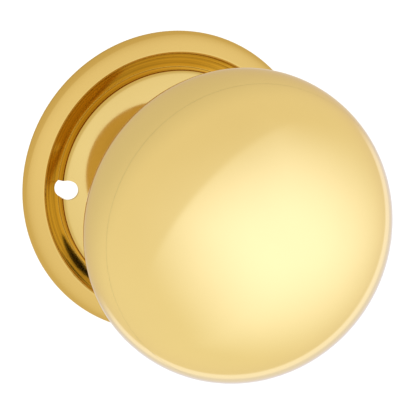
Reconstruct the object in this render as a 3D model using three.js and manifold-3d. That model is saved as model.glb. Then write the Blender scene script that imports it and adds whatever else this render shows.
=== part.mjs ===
// Round door knob on a round pressed rose: the inside half of a passage (non-locking) knob set.
//
// Millimetres, +Z up. The knob's axis is the Y axis. The door's face is the plane Y = 0, the knob
// stands out from it towards -Y, and the spindle runs into the door towards +Y. Heights are
// distances in front of the door's face, so a point at height h has Y = -h.

import * as THREE from "three";
import { mergeVertices } from "three/addons/utils/BufferGeometryUtils.js";
import Module from "manifold-3d";

const wasm = await Module();
wasm.setup();

// ---------------------------------------------------------------- driving dimensions

const GAP = 0.3; // clearance left between pieces that touch or nearly touch
const ROUND = 40; // facets round a turned piece
const SMALL_ROUND = 16; // facets round a pin, rivet or hole
const ARC_STEPS = 3; // facets along a fillet of an outline
const SAME_POINT = 1e-3; // points closer than this are one
const SAME_VERTEX = 1e-4;
const OVERCUT = 1; // how far a cutter runs past the piece
const HOLE_REAR = -3; // cutters for the holes through the flanges run from here
const HOLE_FRONT = 8; // to here

const ROSE_RADIUS = 33;
const ROSE_SHEET = 0.6;
const ROSE_LIP_RADIUS = 28.97; // inner edge of the rolled flange
const ROSE_LIP_HEIGHT = 2.45;
const ROSE_LIP_RISE = 0.1; // control point of the lip's curve, above the lip
const ROSE_LIP_DEPTH = 0.6; // how far the lip's curve comes down inside
const ROSE_CROWN = new THREE.Vector2(31, 1.75); // control points of the flange's curve
const ROSE_ROLL = new THREE.Vector2(32.5, 1.3);
const ROSE_EDGE_HEIGHT = 0.3; // where the flange's curve ends, above the door
const ROSE_GROOVE_HEIGHT = 0.65; // floor of the groove
const ROSE_SHOULDER_RADIUS = 24.2; // outer edge of the domed middle
const ROSE_SHOULDER_HEIGHT = 3.6;
const ROSE_SHOULDER_BEND = new THREE.Vector2(24.95, 3.3); // control point of the shoulder's curve
const ROSE_SHOULDER_DEPTH = 1; // how far the shoulder's curve comes down
const ROSE_DOME_RADIUS = 66; // sphere that the domed middle is part of
const ROSE_WALL_RADIUS = 25.1; // top of the steep wall between the dome and the groove
const ROSE_OUTER_WALL_RADIUS = 28.27; // foot of the wall under the lip
const ROSE_WALL_DRAFT = 0.3; // how far a wall leans
const ROSE_CORNER = 0.12; // radius of the corners along the groove's floor
const ROSE_LEDGE_RADIUS = 27.6; // inner edge of the small ledge at the foot of the outer wall
const ROSE_LEDGE_HEIGHT = 1.25;
const COLLAR_RADIUS = 12.8; // where the dome ends in a flat collar
const SCREW_CIRCLE = 24.05; // distance from the axis to each fixing screw
const SCREW_HOLE_RADIUS = 2.1;
const SCREW_TURN = THREE.MathUtils.degToRad(2.6); // the two holes lie this far off the level line

const KNOB_RADIUS = 31.9;
const KNOB_EQUATOR = 40.3; // height of the knob's widest line
const KNOB_FRONT_DEPTH = 24.3; // from the widest line to the middle of the face
const KNOB_BACK_DEPTH = 18.6; // same for the ball's back, if the neck weren't there
const KNOB_SHEET = 0.8;
const SEAM_ANGLE = THREE.MathUtils.degToRad(18.5); // seam of the two shells, from the widest line
const SPIGOT_END = THREE.MathUtils.degToRad(6); // the front shell reaches this far inside the back one
const SPIGOT_START = SEAM_ANGLE + 0.06;
const FACE_END = SEAM_ANGLE + 0.1; // inside of the face, before it steps in to the spigot
const NECK_RADIUS = 11;
const NECK_FOOT = 8.7;
const NECK_JOIN_RADIUS = 14.5; // where the neck's fillet meets the ball
const NECK_FILLET = 3.9; // how far down the neck its fillet reaches
const FERRULE_RADIUS = 13.4;
const FERRULE_LOW = 8.5;
const FERRULE_HEIGHT = 2.7;
const FERRULE_CORNER = 0.4;
const FERRULE_SIDE = 1.2; // height of its straight side
const CORE_FOOT = NECK_FOOT + 0.4;
const CORE_NECK_TOP = 23.4; // above this the core widens into a cone
const CORE_CONE_RADIUS = 13.5;
const CORE_CONE_TOP = 25.2;
const CORE_FLANGE_RADIUS = 17;
const CORE_FLANGE_LOW = 26.4;
const CORE_FLANGE_HIGH = 28.2;

const SHANK_RADIUS = 7;
const SHANK_BORE = 5.3;
const SHANK_FRONT = 27.5;
const SHANK_REAR = -10.2;
const SHANK_FLAT = 6.2; // half the width over the two flats that drive the driver plate
const SHANK_FLAT_PLAY = 0.2; // how far the flats reach in front of the driver plate
const BUSH_RADIUS = 8.6;
const BUSH_REAR = -3.4;
const BUSH_FLANGE_RADIUS = 11.6;
const BUSH_FLANGE = 0.85;
const CLEAR_BORE = BUSH_RADIUS + GAP; // hole in every piece that the bush passes through

const PLATE_SHEET = 1.2;
const PLATE_RADIUS = 19.5;
const PLATE_TOP = 6;
const PLATE_LAND_RADIUS = 12.6;
const PLATE_FLANGE_RADIUS = 16;
const PLATE_FLANGE_HEIGHT = 1.9;
const NUT_HALF_WIDTH = 10.3; // half the nut's width over its flats
const NUT_REAR = 2.6;

const CUP_RADIUS = 14.8; // inside of the spring housing
const CUP_SHEET = 1;
const CUP_FRONT = 0.4;
const CUP_REAR = -9.9;
const CUP_LIP_RADIUS = 13.4;
const COVER_SHEET = 1;
const COVER_BORE = 9.6;
const RIVET_CIRCLE = 17.6;
const RIVET_RADIUS = 1.1;
const RIVET_HEAD_RADIUS = 1.7;
const RIVET_HEAD_TOP = 1.19; // radius of a head's flat top
const RIVET_HEAD = 0.7; // height of a head
const RIVET_COUNT = 4;

const WASHER_RADIUS = 9.3;
const THRUST_WASHER = 0.6; // thickness
const WAVE_WASHER = 0.3; // thickness
const WAVE = 0.28; // how far the wave washer rises and falls
const WAVE_COUNT = 3;
const RING_THICKNESS = 1;
const RING_GROOVE = 6.3; // radius at the bottom of the shank's groove
const RING_RADIUS = 8.7;
const RING_PLAY = 0.1; // above and below the ring in its groove
const RING_OPENING = THREE.MathUtils.degToRad(28); // half the open part

const DRIVER_FRONT = -5.8;
const DRIVER_THICKNESS = 1.4;
const DRIVER_RADIUS = 12.6;
const STOP_ARM_RADIUS = 14.3;
const STOP_ARM_WIDTH = 3.6;
const STOP_ARM_ROOT = 2; // how far the arm reaches into the driver's disc
const STOP_TONGUE_WIDTH = 1.8;
const STOP_TONGUE_CLEARANCE = 0.5; // from the driver's disc
const TURN_LIMIT = THREE.MathUtils.degToRad(60); // the knob turns this far each way

const WIRE_RADIUS = 0.6;
const COIL_RADIUS = 11;
const COIL_PITCH = 1.28;
const COIL_TURNS = 2.5;
const COIL_FRONT = -1.7;
const COIL_START = THREE.MathUtils.degToRad(200); // where the fixed end leaves the coil
const HOOK_BEND = 0.05; // share of a turn between the coil and its moving end
const HOOK_ANGLE = COIL_START + (COIL_TURNS + HOOK_BEND) * 2 * Math.PI; // where the moving end hooks in
const HOOK_REACH = 0.5; // how far the moving end stands out behind the driver
const LEG_REACH = 0.9; // how far the fixed end stands out of the cup
const LEG_BEND = 1.2; // from the leg's inner end to the coil
const WIRE_SLOT_RADIUS = 1.05;
const WIRE_STEPS = 72; // facets along the wire
const WIRE_FACETS = 4; // facets round half of it

const SPINDLE_WIDTH = 7;
const SPINDLE_FRONT = 21;
const SPINDLE_REAR = -45;
const SPINDLE_PIN_HEIGHT = 17;
const SPINDLE_PIN_RADIUS = 1.4;
const SPINDLE_PIN_RECESS = 0.2; // how far its ends lie inside the shank's surface
const SPINDLE_CHAMFER = 0.6;
const PIN_CUT = 20; // length of the cutter for the pin's hole

// ---------------------------------------------------------------- materials

function metal(color, roughness) {
  return new THREE.MeshStandardMaterial({ color, roughness, metalness: 1 });
}

const polishedBrass = metal(0xe6bd62, 0.08);
const platedSteel = metal(0xb9b7a6, 0.35);
const brightSteel = metal(0xa9aaac, 0.3);
const springSteel = metal(0x54555a, 0.35);
const castZinc = metal(0x8f9194, 0.5);
const nylon = new THREE.MeshStandardMaterial({ color: 0xe9e4d6, roughness: 0.55, metalness: 0 });

// ---------------------------------------------------------------- shapes

// Points of an outline, each curve of it cut into ARC_STEPS (or the given number of) pieces. Where
// two curves meet, one point stands for both ends.
function pointsOf(path, steps = ARC_STEPS) {
  const points = path.getPoints(steps);
  return points.filter((point, i) => i === 0 || point.distanceTo(points[i - 1]) > SAME_POINT);
}

// A body of revolution. Its outline is (distance from the axis, height), closed on itself or on
// the axis, in either direction.
function turned(points, facets = ROUND) {
  const onAxis = points[0].x === 0;
  const outline = THREE.ShapeUtils.isClockWise(points) ? [...points].reverse() : points;
  const line = onAxis ? outline : [...outline, outline[0].clone()];
  return new THREE.LatheGeometry(line, facets).rotateX(Math.PI);
}

// The outline of a sheet: one side's line, and the other side's line a thickness away on its left.
function sheet(line, thickness) {
  const other = line.map((point, i) => {
    const before = line[Math.max(i - 1, 0)];
    const after = line[Math.min(i + 1, line.length - 1)];
    const into = i > 0 ? point.clone().sub(before) : after.clone().sub(point);
    const out = i < line.length - 1 ? after.clone().sub(point) : into.clone();
    const normalIn = new THREE.Vector2(-into.y, into.x).normalize();
    const normalOut = new THREE.Vector2(-out.y, out.x).normalize();
    const mitre = normalIn.clone().add(normalOut).normalize();
    return point.clone().addScaledVector(mitre, thickness / mitre.dot(normalIn));
  });
  return [...line, ...other.reverse()];
}

// A ring of rectangular section.
function ring(inner, outer, low, high, facets = ROUND) {
  const corners = [
    new THREE.Vector2(inner, low),
    new THREE.Vector2(outer, low),
    new THREE.Vector2(outer, high),
    new THREE.Vector2(inner, high),
  ];
  return turned(corners, facets);
}

// A cylinder along the knob's axis, at (x, z) from it.
function post(radius, low, high, x = 0, z = 0, facets = SMALL_ROUND) {
  const geometry = new THREE.CylinderGeometry(radius, radius, high - low, facets);
  return geometry.translate(x, -(low + high) / 2, z);
}

// A flat shape drawn in (x, z), extruded along the knob's axis.
function extruded(shape, low, high) {
  const options = { depth: high - low, bevelEnabled: false, curveSegments: SMALL_ROUND };
  const geometry = new THREE.ExtrudeGeometry(shape, options);
  return geometry.rotateX(Math.PI / 2).translate(0, -low, 0);
}

// A block given by its middle, (x, height, z), and its size in the same order.
function block(x, height, z, sizeX, sizeHeight, sizeZ) {
  return new THREE.BoxGeometry(sizeX, sizeHeight, sizeZ).translate(x, -height, z);
}

// The same geometry turned round the knob's axis.
function turnedRound(geometry, angle) {
  return geometry.rotateY(angle);
}

function solidOf(geometry) {
  const bare = geometry.clone();
  bare.deleteAttribute("normal");
  bare.deleteAttribute("uv");
  const merged = mergeVertices(bare, SAME_VERTEX);
  const mesh = new wasm.Mesh({
    numProp: 3,
    vertProperties: new Float32Array(merged.attributes.position.array),
    triVerts: new Uint32Array(merged.index.array),
  });
  return new wasm.Manifold(mesh);
}

function geometryOf(solid) {
  const mesh = solid.getMesh();
  const geometry = new THREE.BufferGeometry();
  geometry.setAttribute("position", new THREE.BufferAttribute(mesh.vertProperties, 3));
  geometry.setIndex(new THREE.BufferAttribute(mesh.triVerts, 1));
  geometry.computeVertexNormals();
  return geometry;
}

// A geometry with others joined to it and then others cut out of it.
function made(geometry, { joined = [], cut = [] }) {
  let solid = solidOf(geometry);
  for (const piece of joined) solid = solid.add(solidOf(piece));
  for (const piece of cut) solid = solid.subtract(solidOf(piece));
  return geometryOf(solid);
}

function named(name, geometry, material) {
  const mesh = new THREE.Mesh(geometry, material);
  mesh.name = name;
  return mesh;
}

// ---------------------------------------------------------------- fixed pieces

// Pressed brass rose: rolled flange, lip, stepped groove, shoulder, domed middle and flat collar.
function roseCover() {
  const domeCentre = ROSE_SHOULDER_HEIGHT - Math.sqrt(ROSE_DOME_RADIUS ** 2 - ROSE_SHOULDER_RADIUS ** 2);
  const shoulderAngle = Math.acos(ROSE_SHOULDER_RADIUS / ROSE_DOME_RADIUS);
  const collarAngle = Math.acos(COLLAR_RADIUS / ROSE_DOME_RADIUS);
  const collarHeight = domeCentre + ROSE_DOME_RADIUS * Math.sin(collarAngle);
  const path = new THREE.Path();
  path.moveTo(CLEAR_BORE, collarHeight);
  path.lineTo(COLLAR_RADIUS, collarHeight);
  path.absarc(0, domeCentre, ROSE_DOME_RADIUS, collarAngle, shoulderAngle, true);
  const wallTop = ROSE_WALL_RADIUS;
  const wallFoot = wallTop + ROSE_WALL_DRAFT;
  const floor = ROSE_GROOVE_HEIGHT;
  const bend = ROSE_SHOULDER_BEND;
  path.quadraticCurveTo(bend.x, bend.y, wallTop, ROSE_SHOULDER_HEIGHT - ROSE_SHOULDER_DEPTH);
  path.lineTo(wallFoot, floor + ROSE_CORNER);
  path.quadraticCurveTo(wallFoot, floor, wallFoot + ROSE_CORNER, floor);
  const outerWall = ROSE_OUTER_WALL_RADIUS;
  const lipWall = outerWall + ROSE_WALL_DRAFT / 2;
  const ledge = ROSE_LEDGE_HEIGHT;
  const step = ROSE_LEDGE_RADIUS;
  path.lineTo(step - ROSE_CORNER, floor);
  path.quadraticCurveTo(step, floor, step, floor + ROSE_CORNER);
  path.lineTo(step, ledge - ROSE_CORNER);
  path.quadraticCurveTo(step, ledge, step + ROSE_CORNER, ledge);
  path.lineTo(outerWall - ROSE_CORNER, ledge);
  path.quadraticCurveTo(outerWall, ledge, outerWall, ledge + ROSE_CORNER);
  path.lineTo(lipWall, ROSE_LIP_HEIGHT - ROSE_LIP_DEPTH);
  path.quadraticCurveTo(lipWall, ROSE_LIP_HEIGHT + ROSE_LIP_RISE, ROSE_LIP_RADIUS, ROSE_LIP_HEIGHT);
  path.bezierCurveTo(...ROSE_CROWN, ...ROSE_ROLL, ROSE_RADIUS, ROSE_EDGE_HEIGHT);
  path.lineTo(ROSE_RADIUS, 0);
  const line = pointsOf(path).reverse();
  const rose = turned(sheet(line, ROSE_SHEET));
  const screwHoles = [-1, 1].map((side) => {
    const hole = post(SCREW_HOLE_RADIUS, HOLE_REAR, HOLE_FRONT, side * SCREW_CIRCLE);
    return turnedRound(hole, SCREW_TURN);
  });
  return made(rose, { cut: screwHoles });
}

// Nylon bearing: flange in front of the rose's collar, threaded barrel through rose and plate.
function neckBush(collarHeight) {
  const flangeLow = collarHeight + GAP;
  const inner = SHANK_RADIUS + GAP;
  const outline = [
    new THREE.Vector2(inner, BUSH_REAR),
    new THREE.Vector2(BUSH_RADIUS, BUSH_REAR),
    new THREE.Vector2(BUSH_RADIUS, flangeLow),
    new THREE.Vector2(BUSH_FLANGE_RADIUS, flangeLow),
    new THREE.Vector2(BUSH_FLANGE_RADIUS, flangeLow + BUSH_FLANGE),
    new THREE.Vector2(inner, flangeLow + BUSH_FLANGE),
  ];
  return turned(outline);
}

// Angles of the rivets round the axis, between the screw holes and the stops.
function rivetAngles() {
  return Array.from({ length: RIVET_COUNT }, (_, i) => ((i + 0.5) * 2 * Math.PI) / RIVET_COUNT);
}

function rivetHoles() {
  const hole = post(RIVET_RADIUS + GAP, HOLE_REAR, HOLE_FRONT, RIVET_CIRCLE);
  return rivetAngles().map((angle) => turnedRound(hole.clone(), angle));
}

// Pressed steel plate under the rose's dome: raised land, sloping wall and flange.
function mountingPlate() {
  const line = [
    new THREE.Vector2(PLATE_RADIUS, PLATE_FLANGE_HEIGHT),
    new THREE.Vector2(PLATE_FLANGE_RADIUS, PLATE_FLANGE_HEIGHT),
    new THREE.Vector2(PLATE_LAND_RADIUS, PLATE_TOP),
    new THREE.Vector2(CLEAR_BORE, PLATE_TOP),
  ];
  return made(turned(sheet(line, PLATE_SHEET)), { cut: rivetHoles() });
}

// Thin hexagon nut on the bush, behind the plate.
function plateNut() {
  const sides = 6;
  const high = PLATE_TOP - PLATE_SHEET - GAP;
  const hexagon = post(NUT_HALF_WIDTH / Math.cos(Math.PI / sides), NUT_REAR, high, 0, 0, sides);
  return made(hexagon, { cut: [post(CLEAR_BORE, NUT_REAR - OVERCUT, high + OVERCUT, 0, 0, ROUND)] });
}

// Steel cup behind the plate: flange, wall, and a rear lip rolled over the cover.
function springHousing() {
  const line = [
    new THREE.Vector2(CUP_LIP_RADIUS, CUP_REAR),
    new THREE.Vector2(CUP_RADIUS, CUP_REAR),
    new THREE.Vector2(CUP_RADIUS, CUP_FRONT),
    new THREE.Vector2(PLATE_RADIUS, CUP_FRONT),
  ].reverse();
  const slotLength = 4 * CUP_SHEET;
  const slot = new THREE.CylinderGeometry(WIRE_SLOT_RADIUS, WIRE_SLOT_RADIUS, slotLength, SMALL_ROUND)
    .rotateZ(Math.PI / 2)
    .translate(CUP_RADIUS + CUP_SHEET / 2, -COIL_FRONT, 0);
  const cut = [...rivetHoles(), turnedRound(slot, COIL_START)];
  return made(turned(sheet(line, CUP_SHEET)), { cut });
}

// Rear cover of the cup, with two tongues bent forward that stop the driver's arm.
function housingCover() {
  const low = CUP_REAR + GAP;
  const high = low + COVER_SHEET;
  const outer = CUP_RADIUS - GAP;
  const tongueTop = DRIVER_FRONT + GAP;
  const armHalf = Math.asin(STOP_ARM_WIDTH / 2 / CUP_LIP_RADIUS);
  const tongueHalf = Math.asin(STOP_TONGUE_WIDTH / 2 / CUP_LIP_RADIUS);
  const clear = GAP / CUP_LIP_RADIUS;
  const reach = TURN_LIMIT + armHalf + tongueHalf + clear;
  const upward = -Math.PI / 2; // turning +X by this much points it at +Z
  const radial = outer - DRIVER_RADIUS - STOP_TONGUE_CLEARANCE;
  const tongues = [-1, 1].map((side) => {
    const height = tongueTop - low;
    const tongue = block(outer - radial / 2, low + height / 2, 0, radial, height, STOP_TONGUE_WIDTH);
    return turnedRound(tongue, upward + side * reach);
  });
  return made(ring(COVER_BORE, outer, low, high), { joined: tongues });
}

// Rivet with a head on each side of the two flanges.
function housingRivet(angle) {
  const upperHead = PLATE_FLANGE_HEIGHT + GAP;
  const lowerHead = CUP_FRONT - CUP_SHEET - GAP;
  const outline = [
    new THREE.Vector2(0, lowerHead - RIVET_HEAD),
    new THREE.Vector2(RIVET_HEAD_TOP, lowerHead - RIVET_HEAD),
    new THREE.Vector2(RIVET_HEAD_RADIUS, lowerHead),
    new THREE.Vector2(RIVET_RADIUS, lowerHead),
    new THREE.Vector2(RIVET_RADIUS, upperHead),
    new THREE.Vector2(RIVET_HEAD_RADIUS, upperHead),
    new THREE.Vector2(RIVET_HEAD_TOP, upperHead + RIVET_HEAD),
    new THREE.Vector2(0, upperHead + RIVET_HEAD),
  ];
  return turnedRound(turned(outline, SMALL_ROUND).translate(RIVET_CIRCLE, 0, 0), angle);
}

// Return spring: one end reaches out through the cup's wall, the other hooks into the driver.
function torsionSpring() {
  const points = [];
  const at = (radius, angle, height) =>
    points.push(new THREE.Vector3(radius * Math.cos(angle), -height, -radius * Math.sin(angle)));
  const legEnd = CUP_RADIUS + CUP_SHEET + LEG_REACH;
  const legSteps = 4;
  for (let i = 0; i < legSteps; i++) {
    at(legEnd - ((legEnd - COIL_RADIUS - LEG_BEND) * i) / legSteps, COIL_START, COIL_FRONT);
  }
  const turnSteps = 24;
  const bend = 0.5 / turnSteps;
  for (let i = 0; i <= COIL_TURNS * turnSteps; i++) {
    const turns = bend + i / turnSteps;
    at(COIL_RADIUS, COIL_START + turns * 2 * Math.PI, COIL_FRONT - (i / turnSteps) * COIL_PITCH);
  }
  const coilRear = COIL_FRONT - COIL_TURNS * COIL_PITCH;
  const hookEnd = DRIVER_FRONT - DRIVER_THICKNESS - HOOK_REACH;
  const hookSteps = 3;
  const hookStart = coilRear - GAP;
  for (let i = 0; i <= hookSteps; i++) {
    at(COIL_RADIUS, HOOK_ANGLE, hookStart - ((hookStart - hookEnd) * i) / hookSteps);
  }
  const path = new THREE.CatmullRomCurve3(points, false, "centripetal");
  const section = new THREE.Shape();
  section.absarc(0, 0, WIRE_RADIUS, 0, 2 * Math.PI, false);
  const options = { steps: WIRE_STEPS, curveSegments: WIRE_FACETS, extrudePath: path };
  return new THREE.ExtrudeGeometry(section, options);
}

// ---------------------------------------------------------------- turning pieces

// Quarter ellipse points of the knob's front or back, from one angle to another: 0 is the widest
// line and 90 degrees the axis. inset moves the ellipse in by that much.
function ballLine(path, depth, inset, from, to) {
  const start = depth > 0 ? from : -from;
  const end = depth > 0 ? to : -to;
  path.absellipse(0, KNOB_EQUATOR, KNOB_RADIUS - inset, Math.abs(depth) - inset, start, end, start > end);
}

// Domed face with a spigot that reaches inside the back shell.
function knobFrontShell() {
  const spigotInset = KNOB_SHEET + GAP;
  const path = new THREE.Path();
  ballLine(path, KNOB_FRONT_DEPTH, KNOB_SHEET, Math.PI / 2, FACE_END);
  ballLine(path, KNOB_FRONT_DEPTH, spigotInset + KNOB_SHEET, SPIGOT_START, SPIGOT_END);
  ballLine(path, KNOB_FRONT_DEPTH, spigotInset, SPIGOT_END, SEAM_ANGLE);
  ballLine(path, KNOB_FRONT_DEPTH, 0, SEAM_ANGLE, Math.PI / 2);
  const points = pointsOf(path);
  points[0].x = 0;
  points[points.length - 1].x = 0;
  return turned(points);
}

// Back of the ball with the neck drawn out of it.
function knobBackShell() {
  const joinAngle = Math.acos(NECK_JOIN_RADIUS / KNOB_RADIUS);
  const joinHeight = KNOB_EQUATOR - KNOB_BACK_DEPTH * Math.sin(joinAngle);
  const joinSlope = (KNOB_BACK_DEPTH * Math.cos(joinAngle)) / (KNOB_RADIUS * Math.sin(joinAngle));
  const filletCorner = joinHeight - joinSlope * (NECK_JOIN_RADIUS - NECK_RADIUS);
  const seamGap = GAP / KNOB_RADIUS;
  const path = new THREE.Path();
  path.moveTo(NECK_RADIUS, NECK_FOOT);
  path.lineTo(NECK_RADIUS, filletCorner - NECK_FILLET);
  path.quadraticCurveTo(NECK_RADIUS, filletCorner, NECK_JOIN_RADIUS, joinHeight);
  ballLine(path, -KNOB_BACK_DEPTH, 0, joinAngle, 0);
  ballLine(path, KNOB_FRONT_DEPTH, 0, 0, SEAM_ANGLE - seamGap);
  return turned(sheet(pointsOf(path), KNOB_SHEET));
}

// Cast hub inside the knob: fills the neck round the shank and backs the ball with a flange.
function knobCore() {
  const inner = SHANK_RADIUS + GAP;
  const outer = NECK_RADIUS - KNOB_SHEET - GAP;
  const outline = [
    new THREE.Vector2(inner, CORE_FOOT),
    new THREE.Vector2(outer, CORE_FOOT),
    new THREE.Vector2(outer, CORE_NECK_TOP),
    new THREE.Vector2(CORE_CONE_RADIUS, CORE_CONE_TOP),
    new THREE.Vector2(CORE_FLANGE_RADIUS, CORE_FLANGE_LOW),
    new THREE.Vector2(CORE_FLANGE_RADIUS, CORE_FLANGE_HIGH),
    new THREE.Vector2(inner, CORE_FLANGE_HIGH),
  ];
  return turned(outline);
}

// Turned brass ring round the foot of the neck.
function neckFerrule() {
  const inner = NECK_RADIUS + GAP;
  const outer = FERRULE_RADIUS;
  const low = FERRULE_LOW;
  const high = FERRULE_LOW + FERRULE_HEIGHT;
  const path = new THREE.Path();
  path.moveTo(inner, low);
  path.lineTo(outer - FERRULE_CORNER, low);
  path.quadraticCurveTo(outer, low, outer, low + FERRULE_CORNER);
  path.lineTo(outer, low + FERRULE_SIDE);
  path.quadraticCurveTo(outer, high, inner, high);
  return turned(pointsOf(path));
}

const RING_LOW = DRIVER_FRONT - DRIVER_THICKNESS - GAP - RING_THICKNESS;
const RING_HIGH = RING_LOW + RING_THICKNESS;

// Steel tube that carries the knob: ring groove, two flats for the driver and a cross hole.
function shankTube() {
  const outline = [
    new THREE.Vector2(SHANK_BORE, SHANK_REAR),
    new THREE.Vector2(SHANK_RADIUS, SHANK_REAR),
    new THREE.Vector2(SHANK_RADIUS, RING_LOW - RING_PLAY),
    new THREE.Vector2(RING_GROOVE, RING_LOW - RING_PLAY),
    new THREE.Vector2(RING_GROOVE, RING_HIGH + RING_PLAY),
    new THREE.Vector2(SHANK_RADIUS, RING_HIGH + RING_PLAY),
    new THREE.Vector2(SHANK_RADIUS, SHANK_FRONT),
    new THREE.Vector2(SHANK_BORE, SHANK_FRONT),
  ];
  const top = DRIVER_FRONT + SHANK_FLAT_PLAY;
  const length = top - SHANK_REAR + OVERCUT;
  const width = 2 * (SHANK_RADIUS + OVERCUT);
  const flats = [-1, 1].map((side) =>
    block(side * (SHANK_FLAT + OVERCUT), top - length / 2, 0, 2 * OVERCUT, length, width),
  );
  return made(turned(outline), { cut: [...flats, crossPin(SPINDLE_PIN_RADIUS + GAP, PIN_CUT)] });
}

// A cylinder across the axis at the height of the spindle's pin.
function crossPin(radius, length) {
  const geometry = new THREE.CylinderGeometry(radius, radius, length, SMALL_ROUND);
  return geometry.rotateZ(Math.PI / 2).translate(0, -SPINDLE_PIN_HEIGHT, 0);
}

function spindlePin() {
  return crossPin(SPINDLE_PIN_RADIUS, 2 * (SHANK_RADIUS - SPINDLE_PIN_RECESS));
}

// Square bar with slightly chamfered ends.
function spindle() {
  const half = SPINDLE_WIDTH / 2;
  const chamfer = SPINDLE_CHAMFER;
  const shape = new THREE.Shape();
  shape.moveTo(-half, -half);
  shape.lineTo(half, -half);
  shape.lineTo(half, half);
  shape.lineTo(-half, half);
  shape.closePath();
  const options = {
    depth: SPINDLE_FRONT - SPINDLE_REAR - 2 * chamfer,
    bevelThickness: chamfer,
    bevelSize: chamfer,
    bevelOffset: -chamfer,
    bevelSegments: 1,
  };
  const bar = new THREE.ExtrudeGeometry(shape, options);
  bar.rotateX(Math.PI / 2).translate(0, -(SPINDLE_REAR + chamfer), 0);
  return made(bar, { cut: [crossPin(SPINDLE_PIN_RADIUS + GAP, PIN_CUT)] });
}

// Steel plate on the shank's flats, with a stop arm that points up and the spring's hole.
function driverPlate() {
  const low = DRIVER_FRONT - DRIVER_THICKNESS;
  const middle = (low + DRIVER_FRONT) / 2;
  const armRoot = DRIVER_RADIUS - STOP_ARM_ROOT;
  const armLength = STOP_ARM_RADIUS - armRoot;
  const arm = block(0, middle, armRoot + armLength / 2, STOP_ARM_WIDTH, DRIVER_THICKNESS, armLength);
  const boreRadius = SHANK_RADIUS + GAP;
  const bore = post(boreRadius, low - OVERCUT, DRIVER_FRONT + OVERCUT, 0, 0, ROUND);
  const bandHeight = DRIVER_THICKNESS + 4 * OVERCUT;
  const band = block(0, middle, 0, 2 * (SHANK_FLAT + GAP), bandHeight, 4 * boreRadius);
  const keyedBore = geometryOf(solidOf(bore).intersect(solidOf(band)));
  const hookHole = post(WIRE_SLOT_RADIUS, low - OVERCUT, DRIVER_FRONT + OVERCUT, COIL_RADIUS);
  const disc = post(DRIVER_RADIUS, low, DRIVER_FRONT, 0, 0, ROUND);
  return made(disc, { joined: [arm], cut: [keyedBore, turnedRound(hookHole, HOOK_ANGLE)] });
}

function thrustWasher() {
  const low = DRIVER_FRONT + GAP;
  return ring(SHANK_RADIUS + GAP, WASHER_RADIUS, low, low + THRUST_WASHER);
}

// Spring washer with three waves between the bush and the thrust washer.
function waveWasher() {
  const middle = (BUSH_REAR + DRIVER_FRONT + GAP + THRUST_WASHER) / 2;
  const half = WAVE_WASHER / 2;
  const geometry = ring(SHANK_RADIUS + GAP, WASHER_RADIUS, middle - half, middle + half);
  const position = geometry.attributes.position;
  for (let i = 0; i < position.count; i++) {
    const angle = Math.atan2(position.getZ(i), position.getX(i));
    position.setY(i, position.getY(i) + WAVE * Math.cos(WAVE_COUNT * angle));
  }
  return geometry;
}

// Open ring in the shank's groove.
function retainingRing() {
  const inner = RING_GROOVE + GAP;
  const opening = RING_OPENING;
  const shape = new THREE.Shape();
  shape.absarc(0, 0, RING_RADIUS, -Math.PI / 2 + opening, 1.5 * Math.PI - opening, false);
  shape.absarc(0, 0, inner, 1.5 * Math.PI - opening, -Math.PI / 2 + opening, true);
  shape.closePath();
  return extruded(shape, RING_LOW, RING_HIGH);
}

// ---------------------------------------------------------------- assembly

function collarTop() {
  const rise = Math.sqrt(ROSE_DOME_RADIUS ** 2 - COLLAR_RADIUS ** 2);
  return ROSE_SHOULDER_HEIGHT + rise - Math.sqrt(ROSE_DOME_RADIUS ** 2 - ROSE_SHOULDER_RADIUS ** 2);
}

const fixedPieces = new THREE.Group();
fixedPieces.add(
  named("rose_cover", roseCover(), polishedBrass),
  named("neck_bush", neckBush(collarTop()), nylon),
  named("mounting_plate", mountingPlate(), platedSteel),
  named("plate_nut", plateNut(), brightSteel),
  named("spring_housing", springHousing(), platedSteel),
  named("housing_cover", housingCover(), platedSteel),
  named("torsion_spring", torsionSpring(), springSteel),
);
rivetAngles().forEach((angle, i) => {
  fixedPieces.add(named(`housing_rivet_${i + 1}`, housingRivet(angle), brightSteel));
});

const turningPieces = new THREE.Group();
turningPieces.add(
  named("knob_front_shell", knobFrontShell(), polishedBrass),
  named("knob_back_shell", knobBackShell(), polishedBrass),
  named("knob_core", knobCore(), castZinc),
  named("neck_ferrule", neckFerrule(), polishedBrass),
  named("shank_tube", shankTube(), brightSteel),
  named("spindle", spindle(), brightSteel),
  named("spindle_pin", spindlePin(), brightSteel),
  named("driver_plate", driverPlate(), platedSteel),
  named("thrust_washer", thrustWasher(), nylon),
  named("wave_washer", waveWasher(), springSteel),
  named("retaining_ring", retainingRing(), springSteel),
);

const doorKnob = new THREE.Group();
doorKnob.add(fixedPieces, turningPieces);

export default doorKnob;
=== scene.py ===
"""Round brass door knob on a round pressed rose, with its return spring cassette and spindle.

The knob's axis is the Y axis. The door's face is the plane y = 0 and the knob stands out from it
towards -Y. Outlines below are pairs (distance from the axis, height in front of the door), in
millimetres; every mesh is in metres.
"""

import math

import bmesh
import bpy
from mathutils import Matrix, Vector


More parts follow.
